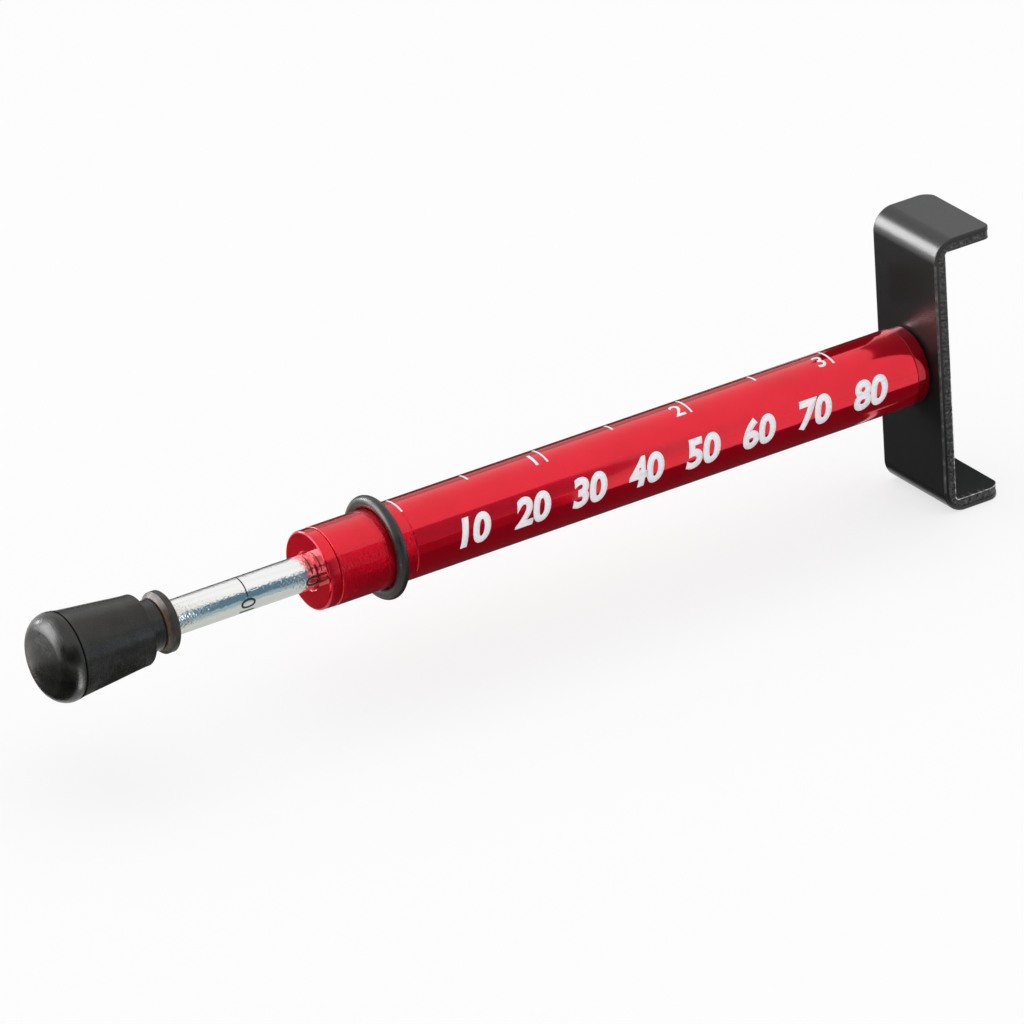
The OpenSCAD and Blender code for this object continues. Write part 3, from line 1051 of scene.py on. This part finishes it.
crown_half = seam_radius + dome_swell - edge_radius
crown_radius = (crown_half ** 2 + crown_rise ** 2) / (2 * crown_rise)
bore_play = 0.02 * mm


def arc(centre_x, centre_r, radius, first, last, steps):
    """Points of (x, radius) on an arc, with angles in degrees from the +X direction."""
    turns = [math.radians(first + (last - first) * step / steps) for step in range(steps + 1)]
    return [(centre_x + radius * math.cos(t), centre_r + radius * math.sin(t)) for t in turns]


def cap_points():
    """The cap's outline from the middle of its rounded end to the middle of its bore's floor."""
    crown_turn = math.degrees(math.asin(crown_half / crown_radius))
    points = arc(cap_low.x + crown_radius, 0, crown_radius, 180, 180 - crown_turn, 8)
    points += arc(edge_x, crown_half, edge_radius, 180 - crown_turn, 84, 24)
    points += [(seam_x + along, seam_radius + out) for along, out in groove_points]
    body_steps, lip_fade = 24, 14
    for step in range(1, body_steps):
        share = step / body_steps
        swell = body_swell * math.sin(math.pi * share)
        ends = lip * (math.exp(-share * lip_fade) + math.exp((share - 1) * lip_fade))
        radius = seam_radius + (shoulder_radius - seam_radius) * share + swell + ends
        points.append((seam_x + body_length * share, radius))
    shoulder_top = shoulder_radius + lip
    points += arc(shoulder_x - shoulder_edge, shoulder_top - shoulder_edge, shoulder_edge, 90, 0, 6)
    points += arc(shoulder_x + neck_fillet, neck_radius + neck_fillet, neck_fillet, 180, 270, 6)
    points += arc(cap_high.x - neck_edge, neck_radius - neck_edge, neck_edge, 90, 0, 5)
    points += [(cap_high.x, rod_radius + bore_play), (rod_low.x, rod_radius + bore_play), (rod_low.x, 0)]
    return points


worn_black = finish("thumb_cap_rubber", (0.014, 0.0135, 0.013), 0.0, 0.3)
cap_bloom = grain(worn_black, 0.35, detail=4.0)
cap_scuffs = grain(worn_black, 0.9, detail=5.0, rough=0.65)
cap_lines = grain(worn_black, 1.0, stretch=(5.0, 0.35, 0.35), detail=3.0)
cap_skin = grain(worn_black, 6.0, detail=2.0)
colour_by(worn_black, cap_bloom, (0.3, (0.004, 0.004, 0.004)), (0.7, (0.014, 0.013, 0.011)))
roughness_by(worn_black, cap_scuffs, 0.2, 0.34)
relief(worn_black, (cap_lines, 0.03 * mm), (cap_scuffs, 0.012 * mm), (cap_skin, 0.0015 * mm))
# The seam's groove loses its specular shine, a painted shade in the groove.
worn_tree = worn_black.node_tree
from_seam = node_sum(worn_tree, "ABSOLUTE", node_sum(worn_tree, "SUBTRACT", place_along(worn_black), seam_x))
seam_shade_half, seam_shade_fade = 0.12 * mm, 0.2 * mm
drive(worn_black, "Specular IOR Level", remap(worn_black, from_seam, 0.0, 0.5, seam_shade_half, seam_shade_fade))
thumb_mesh = revolve("thumb_cap", cap_points(), False, 160)
thumb_cap = add_piece("thumb_cap", thumb_mesh, worn_black)
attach(thumb_cap, "plunger")
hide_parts("rubber_cap")

# Deflection ring
# A rubber O-ring on the tube, which the belt's deflection pushes along and friction holds in place.
# Its stretch flattens it a little where it lies on the tube.
large_low, large_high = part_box("deflection_ring")


def ring_points():
    """The ring's section, a little flattened where it lies on the tube."""
    section = (large_high.x - large_low.x) / 2
    middle_x, middle_r = (large_high.x + large_low.x) / 2, large_high.z - section
    inner_r = middle_r - section
    points = []
    steps, flattening = 48, 0.16
    for step in range(steps):
        turn = 2 * math.pi * step / steps
        out = math.sin(turn)
        stretch = 1.0 if out > 0 else 1.0 + flattening * out * out
        radius = max(middle_r + section * out * stretch, inner_r)
        points.append((middle_x + section * math.cos(turn), radius))
    return points


large_ring = add_piece("large_ring", revolve("large_ring", ring_points(), True, 160), moulded_black)
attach(large_ring, "deflection_marker")
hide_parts("deflection_ring")

# Force ring
# A small rubber ring on the rod beside the cap's neck, browned by age, with squarish cut sides. Its bevelled
# front face is browner still, a painted highlight.
# The front cap pushes it along the rod, where it stays and shows the highest force.
small_low, small_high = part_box("force_ring")
browned = finish("browned_rubber", (0.03, 0.021, 0.017), 0.0, 0.4)
brown_patches = grain(browned, 0.8, detail=4.0)
brown_lines = grain(browned, 1.0, stretch=(6.0, 0.2, 0.2), detail=3.0)
sheen_reach = 0.8 * mm
# A browner band on the bevelled front face is a painted highlight.
bevel_painted_sheen = remap(browned, place_along(browned), 0.3, 0.0, small_low.x, small_low.x + sheen_reach)
colour_by(
    browned,
    node_sum(browned.node_tree, "ADD", brown_patches, bevel_painted_sheen),
    (0.36, (0.012, 0.011, 0.010)),
    (0.55, (0.028, 0.020, 0.016)),
    (0.95, (0.14, 0.075, 0.05)),
)
roughness_by(browned, brown_lines, 0.3, 0.5)
relief(browned, (brown_lines, 0.035 * mm))
bevel = 0.7 * mm
rim_edge = bevel / 5
bevel_edge = 0.12 * mm
rim_round = 0.1 * mm
bore_edge = 0.05 * mm
small_inner = rod_radius + 0.05 * mm
small_ring = turned_piece(
    "small_ring",
    browned,
    [
        (small_low.x, small_inner, bore_edge),
        (small_low.x, small_high.z - bevel, bevel_edge),
        (small_low.x + bevel, small_high.z, rim_round),
        (small_high.x - rim_edge, small_high.z, rim_round),
        (small_high.x, small_high.z - rim_edge, rim_round),
        (small_high.x, small_inner, bore_edge),
    ],
)
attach(small_ring, "force_marker")
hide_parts("force_ring")

# Floor
# A plain white sweep under the hook's lower flange.
# It keeps a soft shadow and looks white to the lens and in the bright metal.
floor_z = hook_low.z - 0.05 * mm
floor_half = 4.0


def shows_background(tree):
    """One where the ray is the lens's own, a reflection or a refraction, and zero elsewhere."""
    path = add_node(tree, "ShaderNodeLightPath")
    reflected = node_sum(tree, "MAXIMUM", path["Is Camera Ray"], path["Is Glossy Ray"])
    return node_sum(tree, "MAXIMUM", reflected, path["Is Transmission Ray"])


def mix_surfaces(tree, share, first, second, end):
    """Gives a tree's end the first surface, and the second one for that share."""
    mix = tree.nodes.new("ShaderNodeMixShader")
    for source, socket in zip((share, first, second), mix.inputs):
        tree.links.new(source, socket)
    tree.links.new(mix.outputs["Shader"], tree.nodes[end].inputs["Surface"])


sweep_white = finish("white_sweep", (0.9, 0.9, 0.9), 0.0, 0.8)
shader_of(sweep_white).inputs["Specular IOR Level"].default_value = 0.0
sweep_tree = sweep_white.node_tree
shade_kept = 0.3
white = (1, 1, 1, 1)
lit = add_node(sweep_tree, "ShaderNodeEmission", color=white)["Emission"]
lit_share = node_sum(sweep_tree, "MULTIPLY", shows_background(sweep_tree), 1 - shade_kept)
mix_surfaces(sweep_tree, lit_share, shader_of(sweep_white).outputs["BSDF"], lit, "Material Output")


def card_mesh(name, corners):
    mesh = bpy.data.meshes.new(name)
    mesh.from_pydata(corners, [], [list(range(len(corners)))])
    return mesh


def level_card(low_x, low_y, high_x, high_y, z):
    """Corners of a card that lies flat."""
    return [(low_x, low_y, z), (high_x, low_y, z), (high_x, high_y, z), (low_x, high_y, z)]


floor_corners = level_card(-floor_half, -floor_half, floor_half, floor_half, floor_z)
floor = add_piece("floor", card_mesh("floor", floor_corners), sweep_white)

# Camera
# A long lens above and in front of the part, to the cap's side, turned a little clockwise.
azimuth = math.radians(-32.238)
elevation = math.radians(26.008)
roll = math.radians(-3.612)
distance = 1868.4 * mm
aim = Vector((-72.623, 0.465, -2.061)) * mm
back = Vector((
    math.sin(azimuth) * math.cos(elevation),
    -math.cos(azimuth) * math.cos(elevation),
    math.sin(elevation),
))
level = Vector((math.cos(azimuth), math.sin(azimuth), 0))
upward = back.cross(level)
right = level * math.cos(roll) + upward * math.sin(roll)
up = upward * math.cos(roll) - level * math.sin(roll)
eye = aim + back * distance
lens = bpy.data.cameras.new("camera")
lens.lens = 451.94
lens.sensor_width = 36
camera = bpy.data.objects.new("camera", lens)
bpy.context.scene.collection.objects.link(camera)
camera.matrix_world = Matrix.Translation(eye) @ Matrix((right, up, back)).transposed().to_4x4()
bpy.context.scene.camera = camera
bpy.context.scene.view_settings.view_transform = "Standard"

# Studio cards
# Grey and dark cards round the part give the bright metal something to reflect.
# They show only in reflections and throw no shadow.
card_z = floor_z + 0.4 * mm
front_y = -0.4
beside = 30 * mm


def mirrored(x, radius, side, taper=0.0):
    """A place on a cylinder or cone about the tube's axis, and the way the lens's ray leaves it.

    The side is the place's angle from the front towards the top, in degrees."""
    turn, lean = math.radians(side), math.radians(taper)
    out = Vector((math.sin(lean), -math.cos(turn) * math.cos(lean), math.sin(turn) * math.cos(lean)))
    spot = Vector((x, -radius * math.cos(turn), radius * math.sin(turn)))
    seen = (eye - spot).normalized()
    return spot, out * 2 * out.dot(seen) - seen


def reached(places, axis, level):
    """Where the rays from mirrored places meet a flat card."""
    return [tuple(spot + way * (level - spot[axis]) / way[axis]) for spot, way in places]


def band(left, right, sides, axis, level):
    """Corners of the card that is mirrored between two places along the axis."""
    places = [mirrored(*left[:2], side, *left[2:]) for side in sides]
    places += [mirrored(*right[:2], side, *right[2:]) for side in reversed(sides)]
    return reached(places, axis, level)


def floor_card(low_x, low_y, high_x, high_y):
    """Corners of a card on the floor."""
    return level_card(low_x, low_y, high_x, high_y, card_z)


def wall_card(low_x, high_x, y, low_z, high_z):
    """Corners of a card that stands along the tube."""
    return [(low_x, y, low_z), (high_x, y, low_z), (high_x, y, high_z), (low_x, y, high_z)]


def studio_card(name, corners, colour):
    """A card of one brightness, or of a colour, that only reflections show."""
    material = bpy.data.materials.new(name)
    material.use_nodes = True
    tree = material.node_tree
    shade = (colour,) * 3 if isinstance(colour, float) else colour
    glow = add_node(tree, "ShaderNodeEmission", color=(*shade, 1))["Emission"]
    tree.links.new(glow, tree.nodes["Material Output"].inputs["Surface"])
    card = add_piece(name, card_mesh(name, corners), material)
    card.visible_camera = False
    card.visible_diffuse = False
    card.visible_transmission = False
    card.visible_volume_scatter = False
    card.visible_shadow = False


def facing_card(name, target, way, reach, half, colour):
    """A square card that faces a place from one side."""
    way = Vector(way).normalized()
    aside = way.cross((0, 0, 1)).normalized() * half
    rise = aside.cross(way)
    middle = target + way * reach
    low, high = middle - rise, middle + rise
    studio_card(name, [low - aside, low + aside, high + aside, high - aside], colour)


FRONT, UP = 1, 2
rising = (13.4, 18, 23, 28, 33, 36)
level_sides = (13.2, 12, 11, 10, 8, 5, 2.5, 0)
under = (0, -5, -10, -15, -22, -30, -38, -45, -52, -57)
tube_start, panel = (face_low.x, barrel_radius), (-66 * mm, barrel_radius)
rod_start = small_high.x, rod_radius
taper = math.degrees(math.atan2(seam_radius - shoulder_radius, body_length))
cap_start, cap_middle = (seam_x, seam_radius, taper), (shoulder_x - 8 * mm, 6.1 * mm, taper)
cap_end = shoulder_x, shoulder_radius, taper
tube_edge = reached([mirrored(*tube_start, side) for side in rising], FRONT, front_y)
tube_panel = [(0.225, front_y, tube_edge[-1][2]), (0.150, front_y, tube_edge[0][2])]
studio_card("tube_front_card", tube_edge + tube_panel, (0.2, 0.22, 0.26))
rod_stop = face_low.x - mm, rod_radius
rod_band, rod_low_band = (33, 28, 22, 16, 9), (9, 6, 3, 0, -3)
studio_card("rod_front_card", band(rod_start, rod_stop, rod_band, FRONT, -beside), (0.1, 0.19, 0.25))
studio_card("tube_near_card", band(tube_start, panel, level_sides, UP, card_z), (0.16, 0.06, 0.06))
studio_card("rod_near_card", band(rod_start, rod_stop, rod_low_band, FRONT, -beside), (0.34, 0.46, 0.5))
studio_card("rod_floor_card", band(rod_start, tube_start, under, UP, card_z), (0.6, 0.62, 0.58))
tube_floor = reached([mirrored(*tube_start, side) for side in under], UP, card_z)
tube_floor += [
    (-0.06, 0.16, card_z),
    (-0.002, 0.16, card_z),
    (-0.002, -0.010, card_z),
    (0.1, -0.010, card_z),
    (0.1, tube_floor[0][1], card_z),
]
studio_card("tube_floor_card", tube_floor, 0.03)
cap_top, cap_front, cap_lower = (31, 38, 46, 54, 62, 70), (13, 18, 24, 30), (12.8, 8, 4, 0, -4)
studio_card("cap_top_card", band(cap_start, cap_end, cap_top, UP, beside), (0.75, 0.72, 0.64))
studio_card("cap_shine_card", band(cap_middle, cap_end, cap_front, FRONT, -beside), (1.3, 1.4, 1.5))
studio_card("cap_front_card", band(cap_start, cap_middle, cap_front, FRONT, -beside), (0.5, 0.52, 0.55))
studio_card("cap_low_card", band(cap_start, cap_end, cap_lower, FRONT, -beside), 0.12)
studio_card("cap_floor_card", band(cap_start, cap_end, under, UP, card_z + 0.1 * mm), 0.04)
studio_card("dark_front_card", wall_card(-0.5, 0.049, front_y, floor_z, 0.35), 0.03)
studio_card("face_card", floor_card(-0.150, 0.022, -0.124, 0.060), (0.28, 0.05, 0.07))
studio_card("hook_floor_card", floor_card(-0.002, 0.010, 0.045, 0.16), 0.03)
studio_card("dome_floor_card", floor_card(-0.35, -0.10, -0.152, 0.012), 0.02)
studio_card("dome_back_card", floor_card(-0.35, 0.012, -0.152, 0.036), 0.06)
studio_card("dome_far_card", floor_card(-0.35, 0.036, -0.152, 0.16), (0.65, 0.64, 0.62))
hook_side = ((0.004, -0.0102), (0.021, -0.038), (0.046, -0.083), (0.08, -0.083), (0.08, -0.0102))
studio_card("hook_side_card", [(x, y, card_z) for x, y in hook_side], 0.05)
left_x = -0.6
left_corners = ((-0.6, floor_z), (0.12, floor_z), (0.12, 0.4), (-0.6, 0.4))
studio_card("left_card", [(left_x, y, z) for y, z in left_corners], 0.02)
light_strip = ((-0.1495, -0.014), (-0.1425, -0.014), (-0.138, -0.13), (-0.146, -0.13))
studio_card("front_strip", [(x, y, card_z) for x, y in light_strip], 7.0)
hook_light = [(-0.28, 0.66, 0.06), (-0.28, 0.66, 0.42), (-0.70, 0.40, 0.56), (-0.70, 0.40, 0.06)]
studio_card("hook_box", hook_light, 17.0)
dome_middle, dome_way = Vector((cap_low.x, 0, 0)), (-0.717, 0.514, 0.47)
facing_card("dome_box", dome_middle, dome_way, 0.15, 0.06, 7.5)
facing_card("dome_glow", dome_middle, dome_way, 0.16, 0.13, 2.2)
studio_card("flange_card", wall_card(0.010, 0.08, 0.045, floor_z, 0.027), 0.02)
studio_card("plug_top_card", wall_card(-0.014, -0.004, 6 * mm, 0.008, 0.014), (0.04, 0.01, 0.01))
studio_card("edge_card", wall_card(-0.09, 0.1, 0.165, floor_z, 0.03), 0.04)
studio_card("back_card", wall_card(0.1, 0.304, 0.5, 0.09, 0.289), 0.45)

# Lamps
# A wide soft box overhead lights the floor and the matt pieces.
# The surrounding white fills the shadows.


def soft_box(name, place, aim, size, radiance):
    lamp = bpy.data.lights.new(name, "AREA")
    lamp.shape = "RECTANGLE"
    lamp.size, lamp.size_y = size
    lamp.energy = radiance * math.pi * size[0] * size[1]
    box = bpy.data.objects.new(name, lamp)
    bpy.context.scene.collection.objects.link(box)
    box.location = place
    box.rotation_euler = (Vector(aim) - Vector(place)).to_track_quat("-Z", "Y").to_euler()
    box.visible_camera = False
    box.visible_glossy = False


tube_middle = Vector(((barrel_low.x + barrel_high.x) / 2, 0, 0))
soft_box("overhead_box", (-0.05, 0.0, 1.0), tube_middle, (1.6, 1.2), 0.9)

surround = bpy.data.worlds.new("white_surround")
bpy.context.scene.world = surround
surround.use_nodes = True
sky = surround.node_tree
sky_fill = 0.72
fill = sky.nodes["Background"]
fill.inputs["Color"].default_value = white
fill.inputs["Strength"].default_value = sky_fill
backdrop = add_node(sky, "ShaderNodeBackground", color=white, strength=1.0)["Background"]
mix_surfaces(sky, shows_background(sky), fill.outputs["Background"], backdrop, "World Output")

# Update
# The view layer is brought up to date.
bpy.context.view_layer.update()
